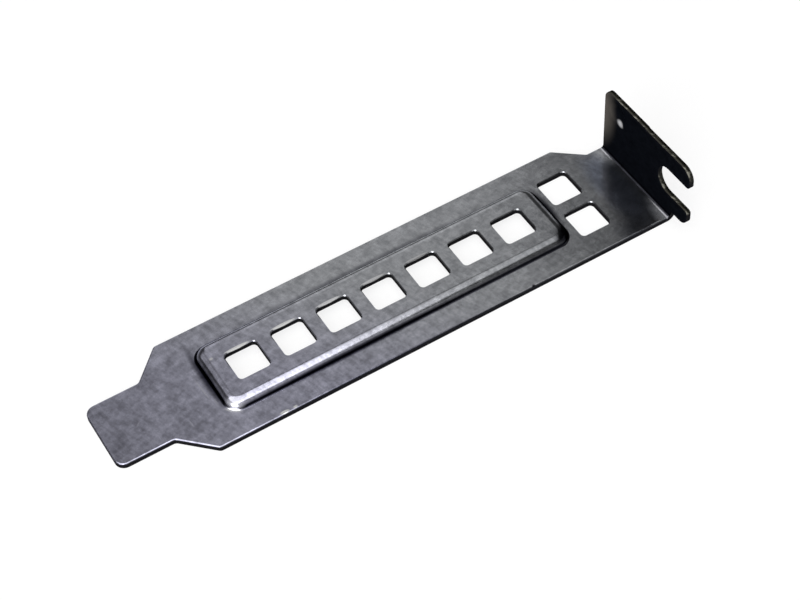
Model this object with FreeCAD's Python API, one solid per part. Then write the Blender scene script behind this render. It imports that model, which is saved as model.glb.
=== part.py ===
import FreeCAD, Part
import math
import os

# A low-profile slot cover bracket: one strip of zinc-plated steel sheet, blanked, pierced, embossed and
# folded once. Every length is in millimetres. While it is drawn, X runs along the strip from the
# tongue's tip, Y crosses it, and Z rises from its back face, with the embossed front face up.

# The sheet
sheet = 0.80              # thickness of the steel
edge_roll = 0.20          # rounding that the punch leaves along every front edge
fold_radius = 0.40        # inside radius of the fold
fold_angle = 90.0         # from the blade up to the flange

# The blade and its tongue
length = 79.20            # tongue's tip to the flange's outer face
blade_width = 18.42
tongue_width = 10.19
tongue_length = 7.58      # straight part, up to the shoulders
shoulder_angle = 45.0     # slope of the shoulders, from the blade's length
tongue_corner = 1.30
shoulder_inner = 0.80     # radius where the tongue meets a shoulder
shoulder_outer = 0.70     # radius where a shoulder meets the blade's side

# The neck, cut from the blade's far side beside the fold
neck_depth = 3.15
neck_slope_run = 3.80     # length of its sloping edge along the blade
neck_straight = 2.25      # straight edge from the slope to the fold
neck_corner = 0.50

# The embossed island, measured outside at the foot of its wall
emboss_width = 11.72
emboss_start = 14.83      # foot of its wall at the tongue's end, from the tongue's tip
emboss_setback = 12.07    # foot of its wall at the other end, back from the start of the fold
emboss_offset = -0.03     # its middle line, from the blade's
emboss_height = 1.10
emboss_flat_corner = 0.75 # radius of its flat top's corners, in plan
rim_radius = 0.60         # inside radius where the wall meets the top
foot_radius = 0.25        # radius where the wall meets the blade, on the front
wall_straight = 0.10      # straight part of the wall between those two bends

# The square air holes
hole_side = 4.54
hole_corner = 0.60
hole_rim = 0.12           # slope that the punch leaves round the front rim
row_count = 7
row_lead = 5.61           # centre of the first hole, from the island's foot at the tongue's end
row_tail = 6.01           # centre of the last one, from the island's foot at the other end
row_offset = -0.03        # middle line of the row, from the blade's
pair_setback = 8.75       # centres of the two holes in the flat strip, back from the start of the fold
pair_far = 2.97           # their places across the blade
pair_near = -3.51

# The flange; heights are from the blade's back face with the flange square to it
flange_height = 11.58     # of its far part
flange_reach = 12.32      # its near end, from the blade's middle line
top_step = 0.12           # how much lower its top is towards the slot, where two cuts of the blank met
top_step_run = 0.30       # length of the slope between them
top_step_place = 2.65     # where it is, from the blade's middle line towards the near side
far_corner = 1.20
near_corner = 1.80
slot_width = 4.42         # clearance for a number 6 screw
slot_height = 6.39        # its middle line
slot_centre = 8.12        # centre of its round end, from the blade's middle line towards the near side
slot_lip = 0.45           # radius of the corners at its mouth
arm_bottom = 1.63         # lower edge of the arm under the slot
arm_corner = 1.20         # radius of that arm's lower end
arm_root = 0.22           # radius where that edge meets the fold

# The round dimple pressed into the flange from its inner face
dimple_diameter = 3.60
dimple_depth = 0.46
dimple_side = 2.88        # its centre, from the flange's far side
dimple_drop = 2.35        # its centre, down from the flange's top
dimple_lip = 0.30

# Places that follow from the sizes
blade_half = blade_width / 2
tongue_half = tongue_width / 2
fold_outer = fold_radius + sheet
fold_start = length - fold_outer
fold_top = fold_outer
neck_side = blade_half - neck_depth
neck_end = fold_start - neck_straight
shoulder_end = tongue_length + (blade_half - tongue_half) / math.tan(math.radians(shoulder_angle))
front = sheet
island_top = sheet + emboss_height
emboss_end = fold_start - emboss_setback
emboss_near = emboss_offset - emboss_width / 2
emboss_far = emboss_offset + emboss_width / 2
row_start = emboss_start + row_lead
hole_pitch = (emboss_end - row_tail - row_start) / (row_count - 1)
pair_distance = fold_start - pair_setback
spare = 1.0               # how far a trimming piece stands past what it trims
tiny = 1e-6

along = FreeCAD.Vector(1, 0, 0)
across = FreeCAD.Vector(0, 1, 0)
up = FreeCAD.Vector(0, 0, 1)
origin = FreeCAD.Vector(0, 0, 0)
fold_axis = FreeCAD.Vector(fold_start, 0, fold_top)


def rounded_outline(corners, height):
    """A closed flat wire through (x, y, radius) corners, each one rounded by its radius."""
    edges = []
    last = None
    first = None
    for place, (x, y, radius) in enumerate(corners):
        corner = FreeCAD.Vector(x, y, height)
        before = FreeCAD.Vector(corners[place - 1][0], corners[place - 1][1], height)
        following = corners[(place + 1) % len(corners)]
        after = FreeCAD.Vector(following[0], following[1], height)
        back = (before - corner).normalize()
        ahead = (after - corner).normalize()
        if radius > 0:
            half_turn = back.getAngle(ahead) / 2
            start = corner + back * (radius / math.tan(half_turn))
            end = corner + ahead * (radius / math.tan(half_turn))
            middle = corner + (back + ahead).normalize() * (radius / math.sin(half_turn) - radius)
        else:
            start = corner
            end = corner
        if last is None:
            first = start
        elif last.distanceToPoint(start) > tiny:
            edges.append(Part.LineSegment(last, start).toShape())
        if radius > 0:
            edges.append(Part.Arc(start, middle, end).toShape())
        last = end
    if last.distanceToPoint(first) > tiny:
        edges.append(Part.LineSegment(last, first).toShape())
    return Part.Wire(edges)


def plate(corners, bottom):
    """A flat piece of the sheet with that outline, its back face at that height."""
    return Part.Face(rounded_outline(corners, bottom)).extrude(up * sheet)


def level_edges(piece, height):
    """The piece's edges that lie at one height."""
    boxes = [(edge, edge.BoundBox) for edge in piece.Edges]
    return [edge for edge, box in boxes if abs(box.ZMin - height) < tiny and abs(box.ZMax - height) < tiny]


def round_front_edges(piece, height, chosen):
    """Rounds the front edges at that height whose middle point is one of the chosen places."""
    edges = [edge for edge in level_edges(piece, height) if chosen(edge.CenterOfMass)]
    return piece.makeFillet(edge_roll, edges)


def pierce(piece, height, centres):
    """Punches a square hole through the piece at each centre and slopes its front rim."""
    half = hole_side / 2
    corners = [(-half, -half), (half, -half), (half, half), (-half, half)]
    for x, y in centres:
        outline = [(x + dx, y + dy, hole_corner) for dx, dy in corners]
        piece = piece.cut(plate(outline, height - sheet))

    def at_a_hole(point):
        return any(max(abs(point.x - x), abs(point.y - y)) < half + tiny for x, y in centres)

    rims = [edge for edge in level_edges(piece, height) if at_a_hole(edge.CenterOfMass)]
    return piece.makeChamfer(hole_rim, rims)


def rounded_box(x_low, x_high, y_low, y_high, radius):
    """Corners of an oblong outline with one radius all round."""
    corners = [(x_low, y_low), (x_high, y_low), (x_high, y_high), (x_low, y_high)]
    return [(x, y, radius) for x, y in corners]


# The wall of the island is the sheet bent twice, so its section is two arcs with a straight between
# them. Its slope follows from the island's height: the two bends and the straight rise to just that.
rim_outer = rim_radius + sheet
foot_inner = foot_radius + sheet
bends = rim_outer + foot_radius
wall_slope = math.acos((bends - emboss_height) / math.hypot(bends, wall_straight))
wall_slope = wall_slope - math.atan2(wall_straight, bends)
wall_run = bends * math.sin(wall_slope) + wall_straight * math.cos(wall_slope)
foot_corner = emboss_flat_corner + wall_run


def section_point(centre, radius, angle):
    """A point of the wall's section on a circle in the XZ plane, at an angle from straight up."""
    return centre + FreeCAD.Vector(radius * math.sin(angle), 0, radius * math.cos(angle))


def wall_section():
    """The sheet's section through the wall, seen along a side, measured from a corner's axis."""
    rim = FreeCAD.Vector(emboss_flat_corner, 0, island_top - rim_outer)
    foot = FreeCAD.Vector(foot_corner, 0, front + foot_radius)
    half = wall_slope / 2

    def arc(centre, radius, turned):
        points = [section_point(centre, radius, turned + angle) for angle in (0, half, wall_slope)]
        return Part.Arc(*points).toShape()

    top = arc(rim, rim_outer, 0)
    under_top = arc(rim, rim_radius, 0)
    base = arc(foot, foot_radius, math.pi)
    under_base = arc(foot, foot_inner, math.pi)
    ends = [arc_edge.Vertexes for arc_edge in (top, base, under_base, under_top)]
    top_ends, base_ends, under_base_ends, under_top_ends = ends
    edges = [
        top,
        Part.makeLine(top_ends[1].Point, base_ends[1].Point),
        base,
        Part.makeLine(base_ends[0].Point, under_base_ends[0].Point),
        under_base,
        Part.makeLine(under_base_ends[1].Point, under_top_ends[1].Point),
        under_top,
        Part.makeLine(under_top_ends[0].Point, top_ends[0].Point),
    ]
    return Part.Face(Part.Wire(Part.__sortEdges__(edges)))


def island_wall():
    """The wall all round: its section turned about each corner and drawn along each side."""
    section = wall_section()
    x_low = emboss_start + foot_corner
    x_high = emboss_end - foot_corner
    y_low = emboss_near + foot_corner
    y_high = emboss_far - foot_corner
    centres = [(x_high, y_high), (x_low, y_high), (x_low, y_low), (x_high, y_low)]
    sides = [y_high - y_low, x_high - x_low]
    pieces = []
    for turn, (x, y) in enumerate(centres):
        corner = section.revolve(origin, up, 90)
        side = section.extrude(across * -sides[turn % 2])
        for piece in (corner, side):
            piece.rotate(origin, up, 90 * turn)
            piece.translate(FreeCAD.Vector(x, y, 0))
            pieces.append(piece)
    return pieces


def island_plate():
    """The flat top of the island with its row of air holes."""
    corners = rounded_box(
        emboss_start + wall_run, emboss_end - wall_run,
        emboss_near + wall_run, emboss_far - wall_run, emboss_flat_corner)
    top = plate(corners, island_top - sheet)
    centres = [(row_start + place * hole_pitch, row_offset) for place in range(row_count)]
    return pierce(top, island_top, centres)


def blade():
    """The flat strip with the tongue and the neck, its pair of holes and the opening for the island."""
    corners = [
        (0, -tongue_half, tongue_corner),
        (tongue_length, -tongue_half, shoulder_inner),
        (shoulder_end, -blade_half, shoulder_outer),
        (fold_start, -blade_half, 0),
        (fold_start, neck_side, 0),
        (neck_end, neck_side, neck_corner),
        (neck_end - neck_slope_run, blade_half, neck_corner),
        (shoulder_end, blade_half, shoulder_outer),
        (tongue_length, tongue_half, shoulder_inner),
        (0, tongue_half, tongue_corner),
    ]
    strip = round_front_edges(plate(corners, 0), front, lambda point: point.x < fold_start - tiny)
    strip = pierce(strip, front, [(pair_distance, pair_far), (pair_distance, pair_near)])
    opening = rounded_box(emboss_start, emboss_end, emboss_near, emboss_far, foot_corner)
    return strip.cut(plate(opening, 0))


def fold():
    """The bend: the strip's section with its rounded front edges, turned about the fold's axis."""
    corners = [
        (-blade_half, 0, 0),
        (neck_side, 0, 0),
        (neck_side, sheet, edge_roll),
        (-blade_half, sheet, edge_roll),
    ]
    section = Part.Face(rounded_outline(corners, 0))
    section.rotate(origin, along, 90)
    section.rotate(origin, up, 90)
    section.translate(along * fold_start)
    return section.revolve(fold_axis, across * -1, fold_angle)


def dimpled(flange):
    """Presses the dimple: a shallow spherical dish in front and a dome of the same wall behind."""
    dish_radius = (dimple_diameter ** 2 / 4 + dimple_depth ** 2) / (2 * dimple_depth)
    dome_radius = dish_radius + sheet
    x = flange_place(flange_height - dimple_drop)
    y = neck_side - dimple_side
    centre = FreeCAD.Vector(x, y, front + dish_radius - dimple_depth)
    dome_foot = math.sqrt(dome_radius ** 2 - centre.z ** 2)
    below = Part.makeCylinder(dome_foot + spare, dimple_depth + spare, FreeCAD.Vector(x, y, 0), up * -1)
    dome = Part.makeSphere(dome_radius, centre).common(below)
    pressed = flange.fuse(dome).cut(Part.makeSphere(dish_radius, centre))

    def about_the_dimple(point):
        return math.hypot(point.x - x, point.y - y) < tiny

    rims = level_edges(pressed, front) + level_edges(pressed, 0)
    return pressed.makeFillet(dimple_lip, [rim for rim in rims if about_the_dimple(rim.CenterOfMass)])


def flange_place(height):
    """Where a height on the folded flange lies along the strip before the fold."""
    return fold_start + height - fold_top


def flange():
    """The flange with its open screw slot, drawn flat beyond the fold and then turned up."""
    slot_radius = slot_width / 2
    slot_end = slot_radius - slot_centre
    slot_low = flange_place(slot_height - slot_radius)
    slot_high = flange_place(slot_height + slot_radius)
    top = flange_place(flange_height)
    near_top = top - top_step
    arm_edge = flange_place(arm_bottom)
    corners = [
        (fold_start, -blade_half, 0),
        (arm_edge, -blade_half, arm_root),
        (arm_edge, -flange_reach, arm_corner),
        (slot_low, -flange_reach, slot_lip),
        (slot_low, slot_end, slot_radius),
        (slot_high, slot_end, slot_radius),
        (slot_high, -flange_reach, slot_lip),
        (near_top, -flange_reach, near_corner),
        (near_top, -top_step_place - top_step_run, 0),
        (top, -top_step_place, 0),
        (top, neck_side, far_corner),
        (fold_start, neck_side, 0),
    ]
    flat = round_front_edges(plate(corners, 0), front, lambda point: point.x > fold_start + tiny)
    flat = dimpled(flat)
    flat.rotate(fold_axis, across * -1, fold_angle)
    return flat


def slot_cover():
    """The whole bracket, with its origin under the middle of its box, on its back face."""
    pieces = [fold(), flange(), island_plate()] + island_wall()
    whole = blade().multiFuse(pieces).removeSplitter()
    box = whole.optimalBoundingBox(False, False)
    whole.translate(FreeCAD.Vector(-box.Center.x, -box.Center.y, 0))
    return whole


os.makedirs("parts", exist_ok=True)
bracket = slot_cover()
bracket.Solids[0].exportStep("parts/slot_cover.step")
print("solids", len(bracket.Solids), "valid", bracket.isValid(), "volume", round(bracket.Volume, 2))
print("box", bracket.optimalBoundingBox(False, False))
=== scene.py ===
import math

import bpy
from mathutils import Matrix, Vector

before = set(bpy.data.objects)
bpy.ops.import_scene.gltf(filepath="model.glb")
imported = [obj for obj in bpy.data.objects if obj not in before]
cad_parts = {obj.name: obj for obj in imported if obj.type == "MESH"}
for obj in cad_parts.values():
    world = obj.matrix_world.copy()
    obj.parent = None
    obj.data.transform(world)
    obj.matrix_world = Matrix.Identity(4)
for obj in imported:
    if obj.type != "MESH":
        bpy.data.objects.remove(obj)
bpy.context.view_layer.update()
bpy.ops.object.select_all(action="DESELECT")

# The camera looks down on the part's front face from the tongue's end, on the side of the screw
# slot's mouth, as in the photograph. It has a long lens and is held a little askew.
MM = 0.001
PHOTO_EYE = (-67.172 * MM, -132.992 * MM, 184.854 * MM)
PHOTO_TURN = (math.radians(39.0242), math.radians(3.0643), math.radians(-31.1878))
PHOTO_LENS = 83.716        # mm, for the sensor below
SENSOR_WIDTH = 36.0        # mm
NEAREST_SEEN = 10.0 * MM

bpy.ops.object.camera_add(location=PHOTO_EYE, rotation=PHOTO_TURN)
camera = bpy.context.object
camera.name = "photo_camera"
camera.data.sensor_width = SENSOR_WIDTH
camera.data.lens = PHOTO_LENS
camera.data.clip_start = NEAREST_SEEN
bpy.context.scene.camera = camera


# The bracket itself: one strip of cold-rolled steel, punched, pressed, folded and then plated with
# zinc. It comes whole from the frame and gets only its material here. The front of the blade faces
# up, the tongue is at the low end of X, and the flange stands at the high end.
def linear(hex_colour):
    """The linear colour of an sRGB hex value."""
    channels = []
    for place in (0, 2, 4):
        value = int(hex_colour[place:place + 2], 16) / 255
        channels.append(value / 12.92 if value <= 0.04045 else ((value + 0.055) / 1.055) ** 2.4)
    return (*channels, 1.0)


def add_node(material, kind, settings=(), links=()):
    """Adds one node; a setting is a property's name or an input's, and a link feeds an input."""
    tree = material.node_tree
    made = tree.nodes.new(kind)
    for name, value in dict(settings).items():
        if isinstance(name, str) and hasattr(made, name):
            setattr(made, name, value)
        else:
            made.inputs[name].default_value = value
    for name, source in dict(links).items():
        tree.links.new(source, made.inputs[name])
    return made


def new_material(name):
    """An empty material with its output node."""
    made = bpy.data.materials.new(name)
    made.use_nodes = True
    made.node_tree.nodes.clear()
    return made, made.node_tree.nodes.new("ShaderNodeOutputMaterial")


# Dull zinc-plated steel, tumbled in a barrel while it was plated. The eye sees a cool grey metal
# that mirrors softly, clouded and finely scratched. Shade is painted on its sheared edges and
# walls, and highlights on its corners, rims and fold.
PER_MM = 1000.0            # a noise scale that gives one feature a millimetre
SMOOTH = {"interpolation_type": "SMOOTHSTEP"}
CLOUD_SIZE = 1.8           # mm
STREAK_SIZE = 0.6          # mm, across a streak
STREAK_STRETCH = 2.6       # how many times longer a streak is than wide
STREAK_TURNS = (14.0, -70.0)
STREAK_SHARE = 0.3         # how much each set of streaks covers what lies under it
DARKEST_MOTTLE, PALEST_MOTTLE = 0.39, 0.61     # the tones run from dark to pale between these

zinc, zinc_output = new_material("dull_zinc_plated_steel")
place = add_node(zinc, "ShaderNodeTexCoord").outputs["Object"]
spot = add_node(zinc, "ShaderNodeSeparateXYZ", links={"Vector": place})
surface = add_node(zinc, "ShaderNodeNewGeometry")
facing = add_node(zinc, "ShaderNodeSeparateXYZ", links={"Vector": surface.outputs["Normal"]})


def patch(centre, reach, turn=0.0, core=0.3):
    """A mask that is 1 in an ellipsoid's core and fades to 0 at its reach; places are in mm."""
    inside = add_node(zinc, "ShaderNodeMapping", {
        "vector_type": "TEXTURE", "Location": [value * MM for value in centre],
        "Rotation": (0.0, 0.0, math.radians(turn)), "Scale": [value * MM for value in reach]},
        {"Vector": place})
    length = add_node(zinc, "ShaderNodeVectorMath", {"operation": "LENGTH"},
                      {0: inside.outputs["Vector"]})
    fade = add_node(zinc, "ShaderNodeMapRange", {**SMOOTH, "From Min": 1.0, "From Max": core},
                    {"Value": length.outputs["Value"]})
    return fade.outputs["Result"]


# Clouds lie under two crossed sets of streaks. Here a Mix node's sockets go by number: 0 is the
# factor, 2 and 3 are the values that it mixes, and 6 and 7 are the colours.
mottle = add_node(zinc, "ShaderNodeTexNoise", {
    "Scale": PER_MM / CLOUD_SIZE, "Detail": 7.0, "Roughness": 0.75},
    {"Vector": place}).outputs["Fac"]
for turn in STREAK_TURNS:
    along = add_node(zinc, "ShaderNodeMapping", {
        "vector_type": "TEXTURE", "Rotation": (0.0, 0.0, math.radians(turn)),
        "Scale": (STREAK_STRETCH, 1.0, 1.0)}, {"Vector": place})
    streak = add_node(zinc, "ShaderNodeTexNoise", {
        "Scale": PER_MM / STREAK_SIZE, "Detail": 3.0, "Roughness": 0.6},
        {"Vector": along.outputs["Vector"]}).outputs["Fac"]
    mottle = add_node(zinc, "ShaderNodeMix", {"data_type": "FLOAT", 0: STREAK_SHARE},
                      {2: mottle, 3: streak}).outputs[0]

# The zinc is a little bluer at the tongue's end than at the flange's, and the change runs aslant.
TONGUE_TONES = ("8A8A97", "C6C6D8")
FLANGE_TONES = ("96989C", "C7C9CD")
SLANT = 1.2                # how far it shifts along the blade for each step across it
CHANGE_FROM, CHANGE_TO = -24.0 * MM, 8.0 * MM
tones = []
for dark, pale in (TONGUE_TONES, FLANGE_TONES):
    ramp = add_node(zinc, "ShaderNodeValToRGB", links={"Fac": mottle})
    low_end, high_end = ramp.color_ramp.elements
    low_end.position, high_end.position = DARKEST_MOTTLE, PALEST_MOTTLE
    low_end.color, high_end.color = linear(dark), linear(pale)
    tones.append(ramp.outputs["Color"])
aslant = add_node(zinc, "ShaderNodeMath", {"operation": "MULTIPLY_ADD", 1: SLANT},
                  {0: spot.outputs["Y"], 2: spot.outputs["X"]})
toward_flange = add_node(zinc, "ShaderNodeMapRange", {
    **SMOOTH, "From Min": CHANGE_FROM, "From Max": CHANGE_TO}, {"Value": aslant.outputs["Value"]})
colour = add_node(zinc, "ShaderNodeMix", {"data_type": "RGBA"}, {
    0: toward_flange.outputs["Result"], 6: tones[0], 7: tones[1]}).outputs[2]

# Flatness is 1 on the faces of the sheet and 0 on its sheared edges. It is measured upwards on the
# blade and its island, and endwise on the flange.
BLADE_LIMIT = 2.2 * MM     # the blade and its island lie below this height
FOLD_LIMIT = 35.0 * MM     # the fold and the flange lie beyond this place
low = add_node(zinc, "ShaderNodeMath", {"operation": "LESS_THAN", 1: BLADE_LIMIT},
               {0: spot.outputs["Z"]}).outputs["Value"]
by_flange = add_node(zinc, "ShaderNodeMath", {"operation": "GREATER_THAN", 1: FOLD_LIMIT},
                     {0: spot.outputs["X"]}).outputs["Value"]
slopes = []
for axis, where in (("Z", low), ("X", by_flange)):
    slope = add_node(zinc, "ShaderNodeMath", {"operation": "MULTIPLY"},
                     {0: facing.outputs[axis], 1: where})
    slope = add_node(zinc, "ShaderNodeMath", {"operation": "ABSOLUTE"},
                     {0: slope.outputs["Value"]})
    slopes.append(slope.outputs["Value"])
flatness = add_node(zinc, "ShaderNodeMath", {"operation": "MAXIMUM"},
                    {0: slopes[0], 1: slopes[1]}).outputs["Value"]

# The walls that the press drew, which get painted shade.
DRAWN_FROM, DRAWN_TO = 0.82, 0.42
drawn = add_node(zinc, "ShaderNodeMapRange", {
    **SMOOTH, "From Min": DRAWN_FROM, "From Max": DRAWN_TO}, {"Value": flatness})
drawn = add_node(zinc, "ShaderNodeMath", {"operation": "MULTIPLY"},
                 {0: drawn.outputs["Result"], 1: low}).outputs["Value"]

# The foot of those walls, just above the blade, which gets painted shade.
FOOT_FROM, FOOT_TO = 0.999, 0.96
FOOT_MIDDLE, FOOT_REACH = 1.0 * MM, 0.198 * MM
foot = add_node(zinc, "ShaderNodeMapRange", {
    **SMOOTH, "From Min": FOOT_FROM, "From Max": FOOT_TO}, {"Value": flatness})
above = add_node(zinc, "ShaderNodeMath", {
    "operation": "COMPARE", 1: FOOT_MIDDLE, 2: FOOT_REACH}, {0: spot.outputs["Z"]})
foot = add_node(zinc, "ShaderNodeMath", {"operation": "MULTIPLY"},
                {0: foot.outputs["Result"], 1: above.outputs["Value"]}).outputs["Value"]

# The sheared edges, which get painted shade. The bump behind the dimple stands out past the
# flange and isn't one.
CUT_FROM, CUT_TO = 0.35, 0.15
FLANGE_OUTER = 39.4 * MM
cut = add_node(zinc, "ShaderNodeMapRange", {**SMOOTH, "From Min": CUT_FROM, "From Max": CUT_TO},
               {"Value": flatness})
behind = add_node(zinc, "ShaderNodeMath", {"operation": "LESS_THAN", 1: FLANGE_OUTER},
                  {0: spot.outputs["X"]})
cut = add_node(zinc, "ShaderNodeMath", {"operation": "MULTIPLY"},
               {0: cut.outputs["Result"], 1: behind.outputs["Value"]}).outputs["Value"]

# The flange from the fold's inside curve on, without its outer face. It gets painted shade.
FOLD_FROM, FOLD_TO = 38.3 * MM, 38.5 * MM
FACING_OUT = 0.5           # past this a normal belongs to the outer face
folded = add_node(zinc, "ShaderNodeMapRange", {
    **SMOOTH, "From Min": FOLD_FROM, "From Max": FOLD_TO}, {"Value": spot.outputs["X"]})
inner = add_node(zinc, "ShaderNodeMath", {"operation": "LESS_THAN", 1: FACING_OUT},
                 {0: facing.outputs["X"]})
folded = add_node(zinc, "ShaderNodeMath", {"operation": "MULTIPLY"},
                  {0: folded.outputs["Result"], 1: inner.outputs["Value"]}).outputs["Value"]

# The flange's sheared edges that face up, painted lighter as lit from above, their outer half, and
# their painted glints.
OUTER_HALF_FROM, OUTER_HALF_TO = 38.8 * MM, 39.1 * MM
GLINT_FROM, GLINT_TO = 0.5, 0.62
topmost = add_node(zinc, "ShaderNodeMath", {"operation": "MULTIPLY", "use_clamp": True},
                   {0: folded, 1: facing.outputs["Z"]})
topmost = add_node(zinc, "ShaderNodeMath", {"operation": "MULTIPLY"},
                   {0: cut, 1: topmost.outputs["Value"]}).outputs["Value"]
outer_half = add_node(zinc, "ShaderNodeMapRange", {
    **SMOOTH, "From Min": OUTER_HALF_FROM, "From Max": OUTER_HALF_TO}, {"Value": spot.outputs["X"]})
outer_half = add_node(zinc, "ShaderNodeMath", {"operation": "MULTIPLY"},
                {0: topmost, 1: outer_half.outputs["Result"]}).outputs["Value"]
edge_glints = add_node(zinc, "ShaderNodeMapRange", {
    **SMOOTH, "From Min": GLINT_FROM, "From Max": GLINT_TO}, {"Value": streak})
edge_glints = add_node(zinc, "ShaderNodeMath", {"operation": "MULTIPLY"},
                  {0: topmost, 1: edge_glints.outputs["Result"]}).outputs["Value"]

FRONT = 0.8                # mm, the height of the blade's front face
FOLD_FOOT = 0.85           # mm, just above it, where the fold's inside curve begins
ISLAND_TOP = 1.9           # mm

# The painted highlight on the island's corner, the painted highlight along the fold at both ends,
# and the wear at both ends of the fold.
corner_highlight = patch((-24.2, -3.6, 1.5), (2.0, 2.0, 1.0), core=0.1)
near_fold_highlight = patch((38.15, -6.8, FOLD_FOOT), (0.22, 4.2, 0.4), core=0.0)
far_fold_highlight = patch((38.15, 6.6, FOLD_FOOT), (0.22, 2.6, 0.4), core=0.0)
near_wear = patch((38.3, -7.4, FOLD_FOOT), (2.0, 5.0, 0.5), core=0.0)
far_wear = patch((38.0, 6.4, FOLD_FOOT), (3.0, 3.0, 0.5), core=0.0)

# Each layer lies over those before it: where it is, how it is laid, and its colour.
layers = [
    # painted shade on the drawn walls, deeper at the tongue's end, at their foot and along the
    # near side
    (drawn, "MULTIPLY", "686870"),
    (patch((-24.95, 2.4, 1.1), (0.9, 8.6, 0.7), core=0.4), "MULTIPLY", "54545E"),
    (foot, "MULTIPLY", "787880"),
    (patch((-7.0, -4.08, 1.08), (22.0, 0.56, 0.58), core=0.45), "MULTIPLY", "76767E"),
    # painted shade along the blade's near edge
    (patch((-3.0, -7.62, 0.72), (27.0, 0.24, 0.25), core=0.4), "MULTIPLY", "8E8E94"),
    # painted shade on the island's near corner and end wall, by the pair of holes
    (patch((25.3, -3.2, 1.57), (2.6, 2.3, 0.76), core=0.45), "MULTIPLY", "505058"),
    (patch((26.0, 2.6, 1.15), (1.0, 5.4, 1.2), core=0.3), "MULTIPLY", "505058"),
    # a soft painted shadow on the blade beyond the island's far rim, and a painted highlight on
    # its near rim
    (patch((0.55, 7.4, FRONT), (26.5, 0.7, 0.35), core=0.1), "MULTIPLY", "B8B8BC"),
    (patch((-6.0, -3.35, 1.8), (21.0, 0.6, 0.4), core=0.2), "SCREEN", "606068"),
    # the flange's reflection painted on the blade beside the fold: a little bluer all over, darker
    # near the edge
    (patch((35.6, 0.5, FRONT), (3.2, 9.5, 0.4), core=0.4), "MULTIPLY", "E4EAFA"),
    (patch((33.3, -6.6, FRONT), (3.4, 3.2, 0.5), core=0.0), "MULTIPLY", "B0B2B8"),
    # painted shade on the flange's inner face, and a painted reflection that lightens its far edge
    (folded, "MULTIPLY", "13151A"),
    (patch((38.57, 8.8, 8.0), (0.75, 4.4, 8.0), core=0.35), "MIX", "4E4A46"),
    # painted shade on the sheared edges; the flange's ones that face up painted lighter, with
    # painted glints and a darker outer half
    (cut, "MIX", "19191B"),
    (topmost, "MIX", "3C3B35"),
    (edge_glints, "MIX", "8A887E"),
    (outer_half, "MULTIPLY", "5A5A58"),
    # painted highlights on the island's corner and on the blade in front of it
    (corner_highlight, "MIX", "B8B8C0"),
    (patch((-24.25, -3.6, FRONT), (1.4, 0.36, 0.4), turn=-42.0, core=0.4), "MIX", "E6E6EC"),
    # a painted highlight on the lip of the dimple
    (patch((38.75, 4.15, 7.95), (0.9, 1.0, 0.5)), "MIX", "9C9C9E"),
    # a painted highlight along the fold: its near end, far end and middle
    (near_fold_highlight, "MIX", "C8C8CE"),
    (far_fold_highlight, "MIX", "C4C4CA"),
    (patch((38.13, 0.5, FOLD_FOOT), (0.12, 6.0, 0.3)), "MIX", "B0B0BA"),
    # scratches on the tongue and on the blade before the island
    (patch((-26.03, 1.2, FRONT), (0.16, 2.6, 0.3), turn=3.4), "MIX", "C0C0CC"),
    (patch((-25.46, -1.33, FRONT), (0.14, 0.8, 0.3), turn=3.4), "MIX", "B4B4C0"),
    (patch((-35.0, 1.0, FRONT), (0.6, 0.14, 0.3), turn=40.0), "MIX", "B8B8C6"),
    (patch((-34.7, -2.3, FRONT), (0.5, 0.14, 0.3), turn=-20.0), "MIX", "B8B8C6"),
    (patch((-29.5, -2.6, FRONT), (0.14, 0.8, 0.3), turn=5.0), "MIX", "BCBCCA"),
    # a small dent on the island, painted as its highlight
    (patch((-23.17, 4.10, ISLAND_TOP), (0.36, 0.30, 0.3)), "MIX", "DCDCE0"),
    # nicks in the near edge, painted as their highlights, and the last as its shade
    (patch((-19.1, -7.33, FRONT), (0.8, 0.3, 0.4), core=0.5), "MIX", "F8F8F8"),
    (patch((-17.6, -7.33, FRONT), (0.4, 0.25, 0.4)), "MIX", "F0F0F0"),
    (patch((17.22, -7.63, FRONT), (0.35, 0.35, 0.4)), "MIX", "202024"),
]

# Painted highlights on the holes' far rims, weaker and weaker towards the flange.
RIM_START, HOLE_PITCH = -19.59, 6.58     # mm, the first rim's middle and the step to the next
RIM_SIDE = 3.96                          # mm, their place across the blade
RIM_HIGHLIGHT_TONES = ("FFFFFF", "FFFFFF", "F4F4F6", "E4E4E6", "D0D0D2")
for number, tint in enumerate(RIM_HIGHLIGHT_TONES):
    rim_middle = (RIM_START + number * HOLE_PITCH, RIM_SIDE, ISLAND_TOP)
    layers.append((patch(rim_middle, (2.1, 0.25, 0.3), core=0.6), "MIX", tint))

for mask, blend, tint in layers:
    colour = add_node(zinc, "ShaderNodeMix", {
        "data_type": "RGBA", "blend_type": blend, 7: linear(tint)},
        {0: mask, 6: colour}).outputs[2]

# The sheared edges, the flange's inner face, the painted highlights on the island's corner and
# along the fold, and the wear at the fold's ends don't mirror, or mirror less.
CORNER_HIGHLIGHT_DULL, WEAR_DULL = 0.6, 0.34
LEAST_DULL, MOST_DULL = 0.02, 0.9
dull = cut
for mask, amount in ((corner_highlight, CORNER_HIGHLIGHT_DULL), (near_wear, WEAR_DULL), (far_wear, WEAR_DULL)):
    dull = add_node(zinc, "ShaderNodeMath", {"operation": "MULTIPLY_ADD", 1: amount},
                    {0: mask, 2: dull}).outputs["Value"]
for mask in (folded, near_fold_highlight, far_fold_highlight):
    dull = add_node(zinc, "ShaderNodeMath", {"operation": "MAXIMUM"},
                    {0: dull, 1: mask}).outputs["Value"]

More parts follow.
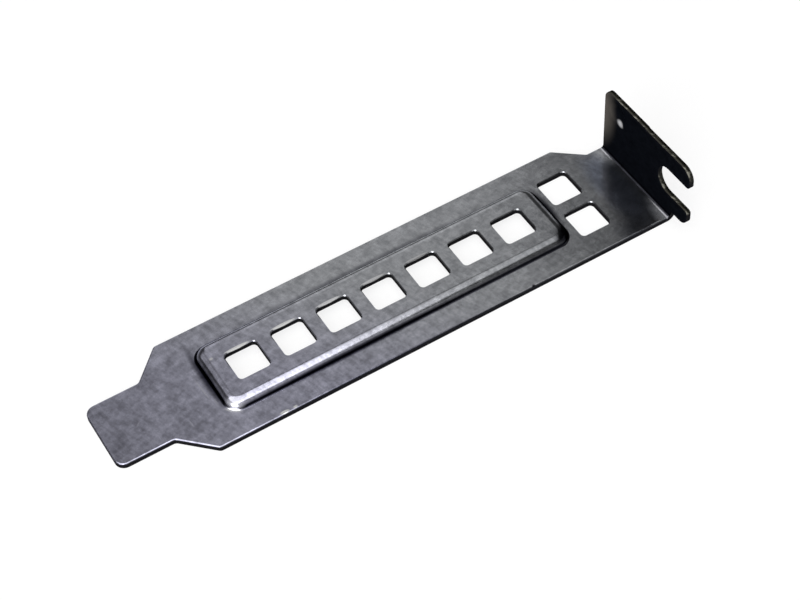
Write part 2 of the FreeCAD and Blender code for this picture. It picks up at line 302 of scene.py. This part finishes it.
# A metal turns white at a glancing angle, so its tint is the same colour: dark layers stay dark.
GRAIN_HEIGHT, GRAIN_STRENGTH = 0.05 * MM, 0.18
ZINC_ROUGHNESS = 0.16
grain = add_node(zinc, "ShaderNodeBump", {
    "Strength": GRAIN_STRENGTH, "Distance": GRAIN_HEIGHT}, {"Height": mottle}).outputs["Normal"]
bright_zinc = add_node(zinc, "ShaderNodeBsdfPrincipled", {
    "Metallic": 1.0, "Roughness": ZINC_ROUGHNESS},
    {"Base Color": colour, "Specular Tint": colour, "Normal": grain})
dull_zinc = add_node(zinc, "ShaderNodeBsdfDiffuse", links={"Color": colour, "Normal": grain})
dull_share = add_node(zinc, "ShaderNodeMapRange", {"To Min": LEAST_DULL, "To Max": MOST_DULL},
                      {"Value": dull})
zinc_shader = add_node(zinc, "ShaderNodeMixShader", links={
    0: dull_share.outputs["Result"], 1: bright_zinc.outputs["BSDF"],
    2: dull_zinc.outputs["BSDF"]})
zinc.node_tree.links.new(zinc_shader.outputs["Shader"], zinc_output.inputs["Surface"])

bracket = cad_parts["slot_cover"]
bracket.material_slots[0].material = zinc

# The table that it lies on: a plain white painted board, matt, so that nothing mirrors in it. To
# the camera and to the zinc most of it is plain white, and the rest keeps the part's soft shadow.
FLOOR_SIZE = 8.0           # metres, past all that the camera sees of it
FLOOR_GAP = 0.02 * MM      # below the part, so that their faces don't coincide
PLAIN_WHITE_SHARE = 0.78
bpy.ops.mesh.primitive_plane_add(size=FLOOR_SIZE, location=(0, 0, -FLOOR_GAP))
floor = bpy.context.object
floor.name = "floor"
board, board_output = new_material("white_board")
board_paint = add_node(board, "ShaderNodeBsdfPrincipled", {
    "Base Color": linear("FCFCFC"), "Roughness": 0.9})
board_white = add_node(board, "ShaderNodeEmission", {"Strength": 1.0})
ray = add_node(board, "ShaderNodeLightPath")
seen = ray.outputs["Is Camera Ray"]
for kind in ("Is Glossy Ray", "Is Transmission Ray"):
    seen = add_node(board, "ShaderNodeMath", {"operation": "MAXIMUM"},
                    {0: seen, 1: ray.outputs[kind]}).outputs["Value"]
share = add_node(board, "ShaderNodeMath", {"operation": "MULTIPLY", 1: PLAIN_WHITE_SHARE},
                 {0: seen})
board_shader = add_node(board, "ShaderNodeMixShader", links={
    0: share.outputs["Value"], 1: board_paint.outputs["BSDF"],
    2: board_white.outputs["Emission"]})
board.node_tree.links.new(board_shader.outputs["Shader"], board_output.inputs["Surface"])
floor.data.materials.append(board)

# The studio light: white soft boxes of several sizes on stands round the part, and a window low
# down on each side. The large ones light its faces. The narrow ones are what its blade mirrors,
# each over a part of its length, so that its tone changes from end to end.
LIGHT_DISTANCE = 2.0       # metres from the part


def softbox(name, direction, spread, radiance):
    """A rectangular light facing the part; its spread is half the angle along X and across it."""
    outward = Vector(direction).normalized()
    along = (Vector((1, 0, 0)) - outward * outward.x).normalized()
    turn = Matrix((along, outward.cross(along), outward)).transposed().to_euler()
    bpy.ops.object.light_add(type="AREA", location=outward * LIGHT_DISTANCE, rotation=turn)
    light = bpy.context.object
    light.name = name
    light.data.shape = "RECTANGLE"
    light.data.size, light.data.size_y = [
        2 * LIGHT_DISTANCE * math.tan(math.radians(half)) for half in spread]
    light.data.energy = radiance * math.pi * light.data.size * light.data.size_y


softbox("top_softbox", (-0.29, -0.15, 0.94), (32, 33), 2.1)
softbox("right_softbox", (0.35, -0.07, 0.93), (6, 25), 0.62)
softbox("near_softbox", (-0.22, -0.55, 0.80), (28, 12), 1.05)
softbox("low_near_softbox", (-0.24, -0.90, 0.38), (32, 20), 0.62)
softbox("left_window", (-0.75, -0.5, 0.30), (20, 20), 4.3)
softbox("left_strip", (-0.93, 0.12, 0.35), (16, 14), 0.3)
softbox("right_window", (0.72, -0.62, 0.30), (20, 14), 0.25)
softbox("far_softbox", (0.28, 0.79, 0.56), (12, 11), 0.62)
softbox("far_strip", (0.262, 0.575, 0.775), (7.6, 8), 0.47)
softbox("far_right_strip", (0.46, 0.59, 0.66), (3.5, 5), 0.22)
softbox("far_left_strip", (-0.01, 0.57, 0.82), (8, 10), 0.26)
softbox("far_left_softbox", (-0.34, 0.58, 0.74), (14, 12), 0.38)

# The room round it is plain white to the camera. On the part it only glows a little, most near the
# horizon, so that the sides of the sheet aren't black. A direction's height is 1 straight up.
GLOW_LOW, GLOW_HIGH = 0.3, 0.03
GLOW_FROM, GLOW_TO = 0.05, 0.42
world = bpy.data.worlds.new("studio")
bpy.context.scene.world = world
world.use_nodes = True
sky = world.node_tree.nodes["Background"]
sky.inputs["Color"].default_value = linear("FFFFFF")
direction = add_node(world, "ShaderNodeTexCoord").outputs["Generated"]
height = add_node(world, "ShaderNodeSeparateXYZ", links={"Vector": direction}).outputs["Z"]
glow = add_node(world, "ShaderNodeMapRange", {
    **SMOOTH, "From Min": GLOW_FROM, "From Max": GLOW_TO,
    "To Min": GLOW_LOW, "To Max": GLOW_HIGH}, {"Value": height})
to_camera = add_node(world, "ShaderNodeLightPath").outputs["Is Camera Ray"]
strength = add_node(world, "ShaderNodeMath", {"operation": "MAXIMUM"},
                    {0: glow.outputs["Result"], 1: to_camera})
world.node_tree.links.new(strength.outputs["Value"], sky.inputs["Strength"])
bpy.context.scene.view_settings.view_transform = "Standard"
